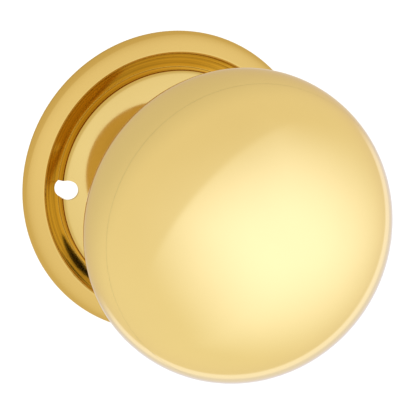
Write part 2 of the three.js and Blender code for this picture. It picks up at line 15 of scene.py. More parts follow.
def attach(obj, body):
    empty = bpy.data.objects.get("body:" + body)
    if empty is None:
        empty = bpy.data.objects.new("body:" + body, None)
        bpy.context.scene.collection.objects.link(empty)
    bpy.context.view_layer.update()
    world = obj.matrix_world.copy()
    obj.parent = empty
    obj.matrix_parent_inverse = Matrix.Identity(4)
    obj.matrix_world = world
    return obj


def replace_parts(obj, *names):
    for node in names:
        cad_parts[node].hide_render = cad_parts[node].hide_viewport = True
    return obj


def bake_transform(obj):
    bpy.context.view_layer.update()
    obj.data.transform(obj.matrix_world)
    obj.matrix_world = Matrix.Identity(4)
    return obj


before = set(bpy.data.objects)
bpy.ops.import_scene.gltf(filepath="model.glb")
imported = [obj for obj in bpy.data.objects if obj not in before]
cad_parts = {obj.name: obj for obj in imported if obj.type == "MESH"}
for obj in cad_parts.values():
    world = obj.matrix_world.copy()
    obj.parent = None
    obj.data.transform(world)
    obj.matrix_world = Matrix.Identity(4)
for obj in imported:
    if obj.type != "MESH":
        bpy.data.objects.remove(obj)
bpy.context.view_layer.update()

MM = 0.001
FINE = 256  # facets round a large turned piece
SMALL = 64  # facets round a small hole
CREASE = 32  # edges sharper than this angle in degrees stay sharp
SAME_POINT = 1e-4  # points nearer to each other than this are one
SHARPEST_MITRE = 0.3  # keeps an offset line from running away at a sharp corner
WIDEST_ROUND = 0.45  # share of a side that the rounding of one corner may take

# ---------------------------------------------------------------- driving dimensions (mm)

ROSE_RADIUS = 33.0
ROSE_SHEET = 0.6
ROSE_EDGE_HEIGHT = 0.3
ROSE_ROLL = (32.5, 1.3)  # control point of the flange's curve, near its edge
ROSE_CROWN = (31.0, 1.75)  # and further in
LIP_RADIUS = 28.97
LIP_HEIGHT = 2.45
LIP_RISE = 0.1
LIP_DEPTH = 0.6
GROOVE_HEIGHT = 0.65
SHOULDER_RADIUS = 24.2
SHOULDER_HEIGHT = 3.6
SHOULDER_BEND = (24.95, 3.3)  # control point of the curve from wall to dome
SHOULDER_DEPTH = 1.0
DOME_RADIUS = 66.0
DOME_CENTRE = SHOULDER_HEIGHT - math.sqrt(DOME_RADIUS**2 - SHOULDER_RADIUS**2)
WALL_RADIUS = 25.1
OUTER_WALL_RADIUS = 28.27
WALL_DRAFT = 0.3
# The groove's tone between these edges is painted reflection of the brass round it.
GROOVE_PAINT_INNER_EDGES = (24.8, 25.2)  # the rose changes tone between these two radii
GROOVE_PAINT_OUTER_EDGES = (28.27, 28.77)  # and between these
CORNER = 0.12
LEDGE_RADIUS = 27.6
LEDGE_HEIGHT = 1.25
COLLAR_RADIUS = 12.8
COLLAR_HEIGHT = DOME_CENTRE + math.sqrt(DOME_RADIUS**2 - COLLAR_RADIUS**2)
SCREW_CIRCLE = 24.05
SCREW_HOLE_RADIUS = 2.1
SCREW_TURN = math.radians(2.6)
SCREW_CUT = (-2, 8)  # heights between which the screw holes are cut

KNOB_RADIUS = 31.9
EQUATOR = 40.3
FRONT_DEPTH = 24.3
BACK_DEPTH = 18.6
KNOB_SHEET = 0.8
SEAM = math.radians(18.5)
SEAM_GAP = 0.0012  # between the two shells, radians
SPIGOT_END = math.radians(6)
SPIGOT_PLAY = 0.1
SPIGOT_ROOT = (0.06, 0.1)  # where it leaves the face shell, radians above the seam
NECK_RADIUS = 11.0
NECK_FOOT = 8.7
NECK_JOIN = 14.5
NECK_FILLET = 3.9
FERRULE_RADIUS = 13.4
FERRULE_LOW = 8.5
FERRULE_HEIGHT = 2.7
FERRULE_EDGE = 0.4
FERRULE_SIDE = 1.2

GAP = 0.3
SHANK_RADIUS = 7.0
BUSH_RADIUS = 8.6
BUSH_REAR = -3.4
BUSH_FLANGE_RADIUS = 11.6
BUSH_FLANGE = 0.85
BUSH_FLANGE_EDGES = (0.2, 0.3)  # rounding of its rear and front edge
BUSH_BORE = BUSH_RADIUS + GAP
THREAD_PITCH = 0.8
THREAD_DEPTH = 0.35
THREAD_CREST = 0.1
THREAD_LEAD = 0.3
THREAD_RUNOUT = 1.5

PLATE_SHEET = 1.2
PLATE_RADIUS = 19.5
PLATE_TOP = 6.0
PLATE_LAND_RADIUS = 12.6
PLATE_FLANGE_RADIUS = 16.0
PLATE_FLANGE_HEIGHT = 1.9
PLATE_BEND = 0.9
CUP_RADIUS = 14.8
CUP_SHEET = 1.0
CUP_FRONT = 0.4
CUP_REAR = -9.9
CUP_LIP_RADIUS = 13.4
CUP_BEND = 0.7
RIVET_CIRCLE = 17.6
RIVET_RADIUS = 1.1
RIVET_HEAD_RADIUS = 1.7
RIVET_HEAD = 0.7
RIVET_COUNT = 4
RIVET_CUT = (-3, 4)  # heights between which the rivets' holes are cut

DRIVER_FRONT = -5.8
DRIVER_THICKNESS = 1.4
RING_HIGH = -7.5
RING_LOW = -8.5
RING_BORE = 6.6
RING_RADIUS = 8.7
RING_OPENING = math.radians(28)  # half the angle between its ends
RING_EDGE = 0.18
RING_TIP = 0.9  # length over which its ends are rounded off
RING_END = 0.05  # square of the share of its width that is left at the very end

WIRE_RADIUS = 0.6
COIL_RADIUS = 11.0
COIL_PITCH = 1.28
COIL_TURNS = 2.5
COIL_FRONT = -1.7
COIL_START = math.radians(200)
COIL_LEAD = 0.02  # share of a turn between the leg and the coil
HOOK_LEAD = 0.05  # share of a turn between the coil's start and its hook, beyond its turns
HOOK_ANGLE = COIL_START + (COIL_TURNS + HOOK_LEAD) * 2 * math.pi
HOOK_REACH = 0.5
LEG_REACH = 0.9
LEG_BEND = 1.2
WIRE_SLOT_RADIUS = 1.05
WIRE_SLOT_REACH = 2.0

SPINDLE_WIDTH = 7.0
SPINDLE_FRONT = 21.0
SPINDLE_REAR = -45.0
SPINDLE_CHAMFER = 0.6
SPINDLE_ROUND = 0.35


# ---------------------------------------------------------------- outlines

def arc(centre, radius, start, end, steps, squash=1.0):
    """Points of a circle's or, with squash, of an ellipse's arc; angles in radians."""
    points = []
    for i in range(steps + 1):
        angle = start + (end - start) * i / steps
        across = centre[0] + radius * math.cos(angle)
        up = centre[1] + radius * squash * math.sin(angle)
        points.append((across, up))
    return points


def bezier(corners, steps):
    """Points of a Bezier curve with 3 or 4 control points."""
    points = []
    n = len(corners) - 1
    for i in range(steps + 1):
        t = i / steps
        weights = [math.comb(n, k) * t**k * (1 - t) ** (n - k) for k in range(n + 1)]
        across = sum(w * c[0] for w, c in zip(weights, corners))
        up = sum(w * c[1] for w, c in zip(weights, corners))
        points.append((across, up))
    return points


def joined(*pieces):
    """One line from several, without the points that they share."""
    line = []
    for point in (p for piece in pieces for p in piece):
        if not line or math.dist(point, line[-1]) > SAME_POINT:
            line.append(point)
    return line


def offset(line, distance):
    """The line that runs a distance away, on the left of its direction."""
    moved = []
    for i, point in enumerate(line):
        before = Vector(line[max(i - 1, 0)])
        here = Vector(point)
        after = Vector(line[min(i + 1, len(line) - 1)])
        into = (here - before).normalized() if i else (after - here).normalized()
        out = (after - here).normalized() if i < len(line) - 1 else into
        mitre = Vector((-into.y - out.y, into.x + out.x)).normalized()
        share = max(mitre.dot(Vector((-into.y, into.x))), SHARPEST_MITRE)
        place = here + mitre * (distance / share)
        moved.append((place.x, place.y))
    return moved


def sheet(line, thickness):
    """Closed outline of a pressed sheet: its face, and its back on the left of the face."""
    return line + list(reversed(offset(line, thickness)))


def rounded(corners, radius, steps=4):
    """A closed outline with its corners rounded off."""
    line = []
    count = len(corners)
    for i, corner in enumerate(corners):
        here = Vector(corner)
        back = Vector(corners[i - 1]) - here
        ahead = Vector(corners[(i + 1) % count]) - here
        reach = min(radius, back.length * WIDEST_ROUND, ahead.length * WIDEST_ROUND)
        start = here + back.normalized() * reach
        end = here + ahead.normalized() * reach
        line += bezier([tuple(start), tuple(here), tuple(end)], steps)
    return joined(line)


def bent(corners, radius, steps=6):
    """An open line with its inner corners bent round instead of sharp."""
    pieces = [[corners[0]]]
    for before, here, after in zip(corners, corners[1:], corners[2:]):
        corner = Vector(here)
        start = corner + (Vector(before) - corner).normalized() * radius
        end = corner + (Vector(after) - corner).normalized() * radius
        pieces.append(bezier([tuple(start), here, tuple(end)], steps))
    return joined(*pieces, [corners[-1]])


def polar_place(radius, angle):
    """x and z of a point round the axis, the angle from +X towards +Z."""
    return radius * math.cos(angle), radius * math.sin(angle)


# ---------------------------------------------------------------- meshes

def new_object(name, mesh):
    piece = bpy.data.objects.new(name, mesh)
    bpy.context.scene.collection.objects.link(piece)
    return piece


def finished(piece, crease=CREASE):
    """Smooth shading, broken at edges sharper than the crease angle in degrees."""
    piece.data.shade_smooth()
    piece.data.set_sharp_from_angle(angle=math.radians(crease))
    return piece


def lathe(name, outline, facets=FINE):
    """Turns a closed outline, or one that starts and ends on the axis, round the knob's axis."""
    work = bmesh.new()
    rings = []
    for across, up in outline:
        if across < SAME_POINT:
            rings.append([work.verts.new((0, -up * MM, 0))])
            continue
        ring = []
        for i in range(facets):
            x, z = polar_place(across, 2 * math.pi * i / facets)
            ring.append(work.verts.new((x * MM, -up * MM, z * MM)))
        rings.append(ring)
    on_axis = len(rings[0]) == 1
    pairs = list(zip(rings, rings[1:])) + ([] if on_axis else [(rings[-1], rings[0])])
    for low, high in pairs:
        for i in range(facets):
            j = (i + 1) % facets
            inner = [low[i % len(low)], low[j % len(low)]]
            outer = [high[j % len(high)], high[i % len(high)]]
            work.faces.new(list(dict.fromkeys(inner + outer)))
    bmesh.ops.recalc_face_normals(work, faces=work.faces)
    mesh = bpy.data.meshes.new(name)
    work.to_mesh(mesh)
    work.free()
    return finished(new_object(name, mesh))


def cylinder(radius, low, high, x=0.0, z=0.0, facets=SMALL):
    """A throwaway cylinder along the knob's axis, to cut with."""
    mesh = bpy.data.meshes.new("cutter")
    work = bmesh.new()
    turn = Matrix.Rotation(math.pi / 2, 4, "X")
    place = Matrix.Translation((x * MM, -(low + high) / 2 * MM, z * MM))
    bmesh.ops.create_cone(
        work, cap_ends=True, segments=facets, radius1=radius * MM, radius2=radius * MM,
        depth=(high - low) * MM, matrix=place @ turn,
    )
    work.to_mesh(mesh)
    work.free()
    return new_object("cutter", mesh)


def apply_modifiers(piece):
    """Makes what the modifiers show the piece's own mesh."""
    bpy.context.view_layer.update()
    depsgraph = bpy.context.evaluated_depsgraph_get()
    mesh = bpy.data.meshes.new_from_object(piece.evaluated_get(depsgraph))
    piece.modifiers.clear()
    piece.data = mesh
    return piece


def cut(piece, *cutters):
    """Takes the cutters out of the piece, and removes them."""
    for cutter in cutters:
        modifier = piece.modifiers.new("cut", "BOOLEAN")
        modifier.operation = "DIFFERENCE"
        modifier.solver = "EXACT"
        modifier.object = cutter
        apply_modifiers(piece)
        bpy.data.objects.remove(cutter)
    return finished(piece)


# ---------------------------------------------------------------- materials

def node_material(name):
    material = bpy.data.materials.new(name)
    material.use_nodes = True
    nodes = material.node_tree.nodes
    shader = nodes["Principled BSDF"]
    place = nodes.new("ShaderNodeTexCoord")
    return material, nodes, material.node_tree.links, shader, place


def noise(nodes, links, vector, scale, detail=3.0, roughness=0.5):
    texture = nodes.new("ShaderNodeTexNoise")
    texture.inputs["Scale"].default_value = scale
    texture.inputs["Detail"].default_value = detail
    texture.inputs["Roughness"].default_value = roughness
    links.new(vector, texture.inputs["Vector"])
    return texture.outputs["Fac"]


def remap(nodes, links, value, low, high, from_low=0.3, from_high=0.7):
    spread = nodes.new("ShaderNodeMapRange")
    spread.inputs["From Min"].default_value = from_low
    spread.inputs["From Max"].default_value = from_high
    spread.inputs["To Min"].default_value = low
    spread.inputs["To Max"].default_value = high
    links.new(value, spread.inputs["Value"])
    return spread.outputs["Result"]


def mixed(nodes, links, blend, factor, first, second):
    node = nodes.new("ShaderNodeMix")
    node.data_type = "RGBA"
    node.blend_type = blend
    sockets = (node.inputs["Factor"], node.inputs["A"], node.inputs["B"])
    for socket, value in zip(sockets, (factor, first, second)):
        if isinstance(value, bpy.types.NodeSocket):
            links.new(value, socket)
        else:
            socket.default_value = value
    return node.outputs["Result"]


def tint(nodes, links, value, first, second):
    return mixed(nodes, links, "MIX", value, (*first, 1), (*second, 1))


def bump(nodes, links, height, distance, under=None):
    node = nodes.new("ShaderNodeBump")
    node.inputs["Strength"].default_value = 1.0
    node.inputs["Distance"].default_value = distance
    links.new(height, node.inputs["Height"])
    if under is not None:
        links.new(under, node.inputs["Normal"])
    return node.outputs["Normal"]


def polar(nodes, links, place):
    """Coordinates (distance from the axis, 0, height), for the lines that turning and polishing leave."""
    split = nodes.new("ShaderNodeSeparateXYZ")
    links.new(place.outputs["Object"], split.inputs["Vector"])
    flat = nodes.new("ShaderNodeCombineXYZ")
    links.new(split.outputs["X"], flat.inputs["X"])
    links.new(split.outputs["Z"], flat.inputs["Z"])
    length = nodes.new("ShaderNodeVectorMath")
    length.operation = "LENGTH"
    links.new(flat.outputs["Vector"], length.inputs[0])
    result = nodes.new("ShaderNodeCombineXYZ")
    links.new(length.outputs["Value"], result.inputs["X"])
    links.new(split.outputs["Y"], result.inputs["Z"])
    return result.outputs["Vector"]


def toned(material, tone):
    """Gives the metal its colour, four per cent darker in soft patches."""
    nodes = material.node_tree.nodes
    links = material.node_tree.links
    patches = noise(nodes, links, nodes["Texture Coordinate"].outputs["Object"], scale=90)
    darker = mixed(nodes, links, "MULTIPLY", 1.0, tone, (0.96, 0.96, 0.96, 1))
    patchy = mixed(nodes, links, "MIX", patches, darker, tone)
    links.new(patchy, nodes["Principled BSDF"].inputs["Base Color"])
    return material


def polished_brass(name, roughness, waviness):
    """Metal with faint polishing lines, haze and the slight waviness of pressed sheet."""
    material, nodes, links, shader, place = node_material(name)
    shader.inputs["Metallic"].default_value = 1.0
    haze = noise(nodes, links, place.outputs["Object"], scale=260, detail=5.0, roughness=0.6)
    gloss = remap(nodes, links, haze, roughness * 0.85, roughness * 1.15)
    links.new(gloss, shader.inputs["Roughness"])
    rings = noise(nodes, links, polar(nodes, links, place), scale=2600, detail=2.0)
    waves = noise(nodes, links, place.outputs["Object"], scale=170, detail=1.0)
    soft = bump(nodes, links, waves, waviness * MM)
    lines = bump(nodes, links, rings, 0.0004 * MM, under=soft)
    links.new(lines, shader.inputs["Normal"])
    return material


def lacquered_brass(name, roughness, waviness, colour):
    """Polished brass of one colour under a thin coat of clear lacquer."""
    material = toned(polished_brass(name, roughness, waviness), (*colour, 1))
    shader = material.node_tree.nodes["Principled BSDF"]
    shader.inputs["Coat Weight"].default_value = 0.03
    shader.inputs["Coat Roughness"].default_value = 0.04
    shader.inputs["Coat IOR"].default_value = 1.5
    shader.inputs["Specular Tint"].default_value = (0.84, 0.75, 0.70, 1)
    return material


def brass_with_painted_groove_reflection(name, roughness, waviness, dome, flange, groove):
    """Polished brass toned by distance from the axis: the groove's more orange tone and its dark rings are
    painted reflection of the brass round it.
    """
    material = polished_brass(name, roughness, waviness)
    nodes = material.node_tree.nodes
    links = material.node_tree.links
    round_axis = polar(nodes, links, nodes["Texture Coordinate"])
    split = nodes.new("ShaderNodeSeparateXYZ")
    links.new(round_axis, split.inputs["Vector"])
    past_wall, past_lip = (
        remap(nodes, links, split.outputs["X"], 0, 1, start * MM, end * MM)
        for start, end in (GROOVE_PAINT_INNER_EDGES, GROOVE_PAINT_OUTER_EDGES)
    )
    # The groove's painted reflection: a more orange tone, with darker rings painted as reflected bands.
    rings = noise(nodes, links, round_axis, scale=2400, detail=1.0)
    painted_reflection_rings = tuple(c * 0.7 for c in groove)
    groove_with_painted_rings = tint(nodes, links, remap(nodes, links, rings, 0, 1, 0.42, 0.6), groove, painted_reflection_rings)
    inside = mixed(nodes, links, "MIX", past_wall, (*dome, 1), groove_with_painted_rings)
    return toned(material, mixed(nodes, links, "MIX", past_lip, inside, (*flange, 1)))


def steel(name, colour, roughness, stain, turning=0.0):
    """Metal with fine scratches, stains a shade apart, and turning lines where a lathe left them."""
    material, nodes, links, shader, place = node_material(name)
    shader.inputs["Metallic"].default_value = 1.0
    stains = noise(nodes, links, place.outputs["Object"], scale=160, detail=4.0, roughness=0.6)
    tone = tint(nodes, links, remap(nodes, links, stains, 0, 1), colour, stain)
    links.new(tone, shader.inputs["Base Color"])
    wear = noise(nodes, links, place.outputs["Object"], scale=900, detail=6.0, roughness=0.7)
    gloss = remap(nodes, links, wear, roughness * 0.7, roughness * 1.35)
    links.new(gloss, shader.inputs["Roughness"])
    grain = noise(nodes, links, place.outputs["Object"], scale=2200, detail=4.0)
    under = bump(nodes, links, grain, 0.006 * MM)
    if turning:
        rings = noise(nodes, links, polar(nodes, links, place), scale=3200, detail=2.0)
        under = bump(nodes, links, rings, turning * MM, under=under)
    links.new(under, shader.inputs["Normal"])
    return material


def moulded_nylon(name):
    """Off-white nylon with a faint mould texture and slightly yellowed patches."""
    material, nodes, links, shader, place = node_material(name)
    patches = noise(nodes, links, place.outputs["Object"], scale=140)
    fresh = (0.80, 0.77, 0.68)
    aged = (0.74, 0.69, 0.56)
    tone = tint(nodes, links, remap(nodes, links, patches, 0, 1), fresh, aged)
    links.new(tone, shader.inputs["Base Color"])
    shader.inputs["Subsurface Weight"].default_value = 0.15
    shader.inputs["Subsurface Radius"].default_value = (0.002, 0.002, 0.0015)
    grain = noise(nodes, links, place.outputs["Object"], scale=3000)
    links.new(remap(nodes, links, grain, 0.4, 0.55), shader.inputs["Roughness"])
    links.new(bump(nodes, links, grain, 0.01 * MM), shader.inputs["Normal"])
    return material


def plain_material(name, colour, roughness):
    """One colour all over, for the stage."""
    material = bpy.data.materials.new(name)
    material.use_nodes = True
    shader = material.node_tree.nodes["Principled BSDF"]
    shader.inputs["Base Color"].default_value = (*colour, 1)
    shader.inputs["Roughness"].default_value = roughness
    return material


def paint(piece, material):
    piece.data.materials.clear()
    piece.data.materials.append(material)
    return piece


knob_brass = lacquered_brass("knob brass", roughness=0.11, waviness=0.004, colour=(0.85, 0.642, 0.262))
# The groove colour is painted reflection; the dome and the flange keep tones of their own.
rose_brass = brass_with_painted_groove_reflection(
    "rose brass", roughness=0.08, waviness=0.006,
    dome=(0.655, 0.45, 0.135), flange=(0.62, 0.395, 0.10), groove=(0.72, 0.455, 0.072),
)
plated_steel = steel("zinc plated steel", (0.60, 0.59, 0.52), roughness=0.34, stain=(0.50, 0.52, 0.53))
bright_steel = steel(
    "bright steel", (0.56, 0.56, 0.57), roughness=0.28, stain=(0.46, 0.46, 0.47), turning=0.002,
)
spring_steel = steel("oiled spring steel", (0.16, 0.16, 0.18), roughness=0.3, stain=(0.10, 0.09, 0.08))
cast_zinc = steel("cast zinc", (0.42, 0.43, 0.45), roughness=0.5, stain=(0.34, 0.34, 0.36))
nylon = moulded_nylon("nylon")


# ---------------------------------------------------------------- rose

def rose_line():
    """Front of the rose, from its rim over lip, groove and shoulder to the collar's bore."""
    floor = GROOVE_HEIGHT
    ledge = LEDGE_HEIGHT
    outer_wall = OUTER_WALL_RADIUS
    lip_wall = outer_wall + WALL_DRAFT / 2
    wall_foot = WALL_RADIUS + WALL_DRAFT
    rim = [(ROSE_RADIUS, 0.0)]
    flange = bezier([
        (ROSE_RADIUS, ROSE_EDGE_HEIGHT), ROSE_ROLL, ROSE_CROWN, (LIP_RADIUS, LIP_HEIGHT),
    ], 24)
    lip = bezier([
        (LIP_RADIUS, LIP_HEIGHT), (lip_wall, LIP_HEIGHT + LIP_RISE), (lip_wall, LIP_HEIGHT - LIP_DEPTH),
    ], 10)
    outer_corner = joined(
        bezier([(outer_wall, ledge + CORNER), (outer_wall, ledge), (outer_wall - CORNER, ledge)], 6),
        bezier([(LEDGE_RADIUS + CORNER, ledge), (LEDGE_RADIUS, ledge), (LEDGE_RADIUS, ledge - CORNER)], 6),
        bezier([(LEDGE_RADIUS, floor + CORNER), (LEDGE_RADIUS, floor), (LEDGE_RADIUS - CORNER, floor)], 6),
    )
    inner_corner = bezier([
        (wall_foot + CORNER, floor), (wall_foot, floor), (wall_foot, floor + CORNER),
    ], 8)
    shoulder = bezier([
        (WALL_RADIUS, SHOULDER_HEIGHT - SHOULDER_DEPTH), SHOULDER_BEND, (SHOULDER_RADIUS, SHOULDER_HEIGHT),
    ], 10)
    shoulder_angle = math.acos(SHOULDER_RADIUS / DOME_RADIUS)
    collar_angle = math.acos(COLLAR_RADIUS / DOME_RADIUS)
    dome = arc((0, DOME_CENTRE), DOME_RADIUS, shoulder_angle, collar_angle, 24)
    collar = [(BUSH_BORE, COLLAR_HEIGHT)]
    return joined(rim, flange, lip, outer_corner, inner_corner, shoulder, dome, collar)


def build_rose():
    """Pressed rose with its two screw holes."""
    rose = lathe("rose_cover_pressing", sheet(rose_line(), ROSE_SHEET))
    places = [polar_place(SCREW_CIRCLE, angle) for angle in (-SCREW_TURN, math.pi - SCREW_TURN)]
    cut(rose, *(cylinder(SCREW_HOLE_RADIUS, *SCREW_CUT, x, z) for x, z in places))
    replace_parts(paint(rose, rose_brass), "rose_cover")
    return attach(rose, "rose_body")


# ---------------------------------------------------------------- knob

def ball(depth, inset, start, end, steps):
    """Arc of the knob's outline: angles from the widest line, depth negative for the back."""
    radius = KNOB_RADIUS - inset
    squash = (abs(depth) - inset) / radius
    sign = math.copysign(1, depth)
    return arc((0, EQUATOR), radius, sign * start, sign * end, steps, squash)


def build_front_shell():
    """Domed face with a spigot that reaches into the back shell."""
    spigot = KNOB_SHEET + SPIGOT_PLAY
    inner_root, outer_root = SPIGOT_ROOT
    line = joined(
        ball(FRONT_DEPTH, KNOB_SHEET, math.pi / 2, SEAM + outer_root, 32),
        ball(FRONT_DEPTH, spigot + KNOB_SHEET, SEAM + inner_root, SPIGOT_END, 4),
        ball(FRONT_DEPTH, spigot, SPIGOT_END, SEAM, 6),
        ball(FRONT_DEPTH, 0, SEAM, math.pi / 2, 72),
    )
    line[0] = (0.0, line[0][1])
    line[-1] = (0.0, line[-1][1])
    shell = lathe("knob_face_shell", line)
    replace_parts(paint(shell, knob_brass), "knob_front_shell")
    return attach(shell, "knob_body")


def build_back_shell():
    """Back of the ball, drawn in to the neck."""
    join_angle = math.acos(NECK_JOIN / KNOB_RADIUS)
    join_height = EQUATOR - BACK_DEPTH * math.sin(join_angle)
    join_slope = BACK_DEPTH * math.cos(join_angle) / (KNOB_RADIUS * math.sin(join_angle))
    corner = join_height - join_slope * (NECK_JOIN - NECK_RADIUS)
    neck = [(NECK_RADIUS, corner - NECK_FILLET), (NECK_RADIUS, corner), (NECK_JOIN, join_height)]
    line = joined(
        [(NECK_RADIUS, NECK_FOOT)],
        bezier(neck, 20),
        ball(-BACK_DEPTH, 0, join_angle, 0, 48),
        ball(FRONT_DEPTH, 0, 0, SEAM - SEAM_GAP, 12),
    )
    shell = lathe("knob_back_shell_spun", sheet(line, KNOB_SHEET))
    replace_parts(paint(shell, knob_brass), "knob_back_shell")
    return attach(shell, "knob_body")


def build_ferrule():
    """Turned collar round the foot of the neck."""
    inner = NECK_RADIUS + GAP
    outer = FERRULE_RADIUS
    low = FERRULE_LOW
    high = low + FERRULE_HEIGHT
    line = joined(
        [(inner, low)],
        bezier([(outer - FERRULE_EDGE, low), (outer, low), (outer, low + FERRULE_EDGE)], 6),
        bezier([(outer, low + FERRULE_SIDE), (outer, high), (inner, high)], 16),
    )
    ferrule = lathe("neck_ferrule_turned", line)
    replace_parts(paint(ferrule, knob_brass), "neck_ferrule")
    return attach(ferrule, "knob_body")


# ---------------------------------------------------------------- mounting parts and spring cassette

def build_bush():
    """Nylon bearing with a screw thread for its nut behind the rose."""
    low = COLLAR_HEIGHT + GAP
    high = low + BUSH_FLANGE
    inner = SHANK_RADIUS + GAP
    outer = BUSH_FLANGE_RADIUS
    root = BUSH_RADIUS - THREAD_DEPTH
    rear_edge, front_edge = BUSH_FLANGE_EDGES
    crests = int((PLATE_TOP - THREAD_RUNOUT - BUSH_REAR) / THREAD_PITCH)
    thread = []
    for i in range(crests):
        foot = BUSH_REAR + THREAD_LEAD + i * THREAD_PITCH
        crest = foot + THREAD_DEPTH
        thread += [(root, foot), (BUSH_RADIUS, crest), (BUSH_RADIUS, crest + THREAD_CREST)]
    line = joined(
        [(inner, BUSH_REAR), (root, BUSH_REAR)],
        thread,
        [(root, foot + THREAD_PITCH), (BUSH_RADIUS, low)],
        bezier([(outer - rear_edge, low), (outer, low), (outer, low + rear_edge)], 4),
        bezier([(outer, high - front_edge), (outer, high), (outer - front_edge, high)], 4),
        [(inner, high)],
    )
    bush = lathe("neck_bush_moulded", line, facets=FINE // 2)
    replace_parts(paint(bush, nylon), "neck_bush")
    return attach(bush, "rose_body")


def rivet_places():
    angles = [(i + 0.5) * 2 * math.pi / RIVET_COUNT for i in range(RIVET_COUNT)]
    return [polar_place(RIVET_CIRCLE, angle) for angle in angles]


def rivet_cutters():
    return [cylinder(RIVET_RADIUS + GAP, *RIVET_CUT, x, z) for x, z in rivet_places()]


def build_plate():
    """Dished plate that fills the space behind the rose's dome."""
    line = bent([
        (PLATE_RADIUS, PLATE_FLANGE_HEIGHT), (PLATE_FLANGE_RADIUS, PLATE_FLANGE_HEIGHT),
        (PLATE_LAND_RADIUS, PLATE_TOP), (BUSH_BORE, PLATE_TOP),
    ], PLATE_BEND)
    plate = lathe("mounting_plate_pressed", sheet(line, PLATE_SHEET), facets=FINE // 2)
    cut(plate, *rivet_cutters())
    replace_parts(paint(plate, plated_steel), "mounting_plate")
    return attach(plate, "rose_body")


def build_housing():
    """Cup for the return spring, with a slot in its side for the spring's leg."""
    line = bent([
        (PLATE_RADIUS, CUP_FRONT), (CUP_RADIUS, CUP_FRONT), (CUP_RADIUS, CUP_REAR),
        (CUP_LIP_RADIUS, CUP_REAR),
    ], CUP_BEND)
    housing = lathe("spring_housing_cup", sheet(line, CUP_SHEET), facets=FINE // 2)
    wall_middle = CUP_RADIUS + CUP_SHEET / 2
    slot = cylinder(WIRE_SLOT_RADIUS, -WIRE_SLOT_REACH, WIRE_SLOT_REACH, facets=32)
    slot.data.transform(Matrix.Rotation(math.pi / 2, 4, "Z"))
    slot.data.transform(Matrix.Translation((wall_middle * MM, -COIL_FRONT * MM, 0)))
    slot.data.transform(Matrix.Rotation(COIL_START, 4, "Y"))
    cut(housing, slot, *rivet_cutters())
    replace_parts(paint(housing, plated_steel), "spring_housing")
    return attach(housing, "rose_body")


def build_rivets():
    """Rivets with a domed head at both ends."""
    front = PLATE_FLANGE_HEIGHT + GAP
    rear = CUP_FRONT - CUP_SHEET - GAP
    head = RIVET_HEAD_RADIUS
    line = joined(
        bezier([(0, rear - RIVET_HEAD), (head, rear - RIVET_HEAD), (head, rear)], 8),
        [(RIVET_RADIUS, rear), (RIVET_RADIUS, front), (head, front)],
        bezier([(head, front), (head, front + RIVET_HEAD), (0, front + RIVET_HEAD)], 8),
    )
    for i, (x, z) in enumerate(rivet_places()):
        rivet = lathe(f"rivet_{i + 1}", line, facets=48)
        rivet.data.transform(Matrix.Translation((x * MM, 0, z * MM)))
        paint(rivet, bright_steel)
        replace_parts(rivet, f"housing_rivet_{i + 1}")
        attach(rivet, "rose_body")


def build_spindle():
    """Square bar with rounded edges and a chamfer at both ends."""
    work = bmesh.new()
    length = (SPINDLE_FRONT - SPINDLE_REAR) * MM
    middle = -(SPINDLE_FRONT + SPINDLE_REAR) / 2 * MM
    size = Matrix.Diagonal((SPINDLE_WIDTH * MM, length, SPINDLE_WIDTH * MM, 1))
    bmesh.ops.create_cube(work, size=1, matrix=Matrix.Translation((0, middle, 0)) @ size)
    ends = [e for e in work.edges if abs(e.verts[0].co.y - e.verts[1].co.y) < SAME_POINT * MM]
    bmesh.ops.bevel(work, geom=ends, offset=SPINDLE_CHAMFER * MM, segments=1, affect="EDGES", profile=0.5)
    sides = [e for e in work.edges if abs(e.verts[0].co.y - e.verts[1].co.y) > 0.5 * length]
    bmesh.ops.bevel(work, geom=sides, offset=SPINDLE_ROUND * MM, segments=4, affect="EDGES", profile=0.5)
    mesh = bpy.data.meshes.new("spindle_bar")
    work.to_mesh(mesh)
    work.free()
    bar = new_object("spindle_bar", mesh)
    finished(paint(bar, bright_steel), crease=28)
    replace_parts(bar, "spindle")
    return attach(bar, "knob_body")


def build_retaining_ring():
    """Spring ring in the shank's groove, open at the bottom and with rounded edges."""
    start = -math.pi / 2 + RING_OPENING
    end = 1.5 * math.pi - RING_OPENING
    middle = (RING_BORE + RING_RADIUS) / 2
    outline = rounded([
        (RING_BORE, RING_LOW), (RING_RADIUS, RING_LOW),
        (RING_RADIUS, RING_HIGH), (RING_BORE, RING_HIGH),
    ], RING_EDGE)
    work = bmesh.new()
    steps = 120
    sections = []
    for i in range(steps + 1):
        angle = start + (end - start) * i / steps
        near_end = min(i, steps - i) * (end - start) / steps * middle
        narrow = math.sqrt(max(RING_END, 1 - max(0, 1 - near_end / RING_TIP) ** 2))
        section = []
        for across, up in outline:
            x, z = polar_place(middle + (across - middle) * narrow, angle)
            section.append(work.verts.new((x * MM, -up * MM, z * MM)))
        sections.append(section)
    for one, two in zip(sections, sections[1:]):
        for k in range(len(one)):
            n = (k + 1) % len(one)
            work.faces.new((one[k], one[n], two[n], two[k]))
    work.faces.new(sections[0])
    work.faces.new(reversed(sections[-1]))
    bmesh.ops.recalc_face_normals(work, faces=work.faces)
    mesh = bpy.data.meshes.new("retaining_ring_open")
    work.to_mesh(mesh)
    work.free()
    ring = finished(new_object("retaining_ring_open", mesh), crease=40)
    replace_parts(paint(ring, spring_steel), "retaining_ring")
    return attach(ring, "knob_body")


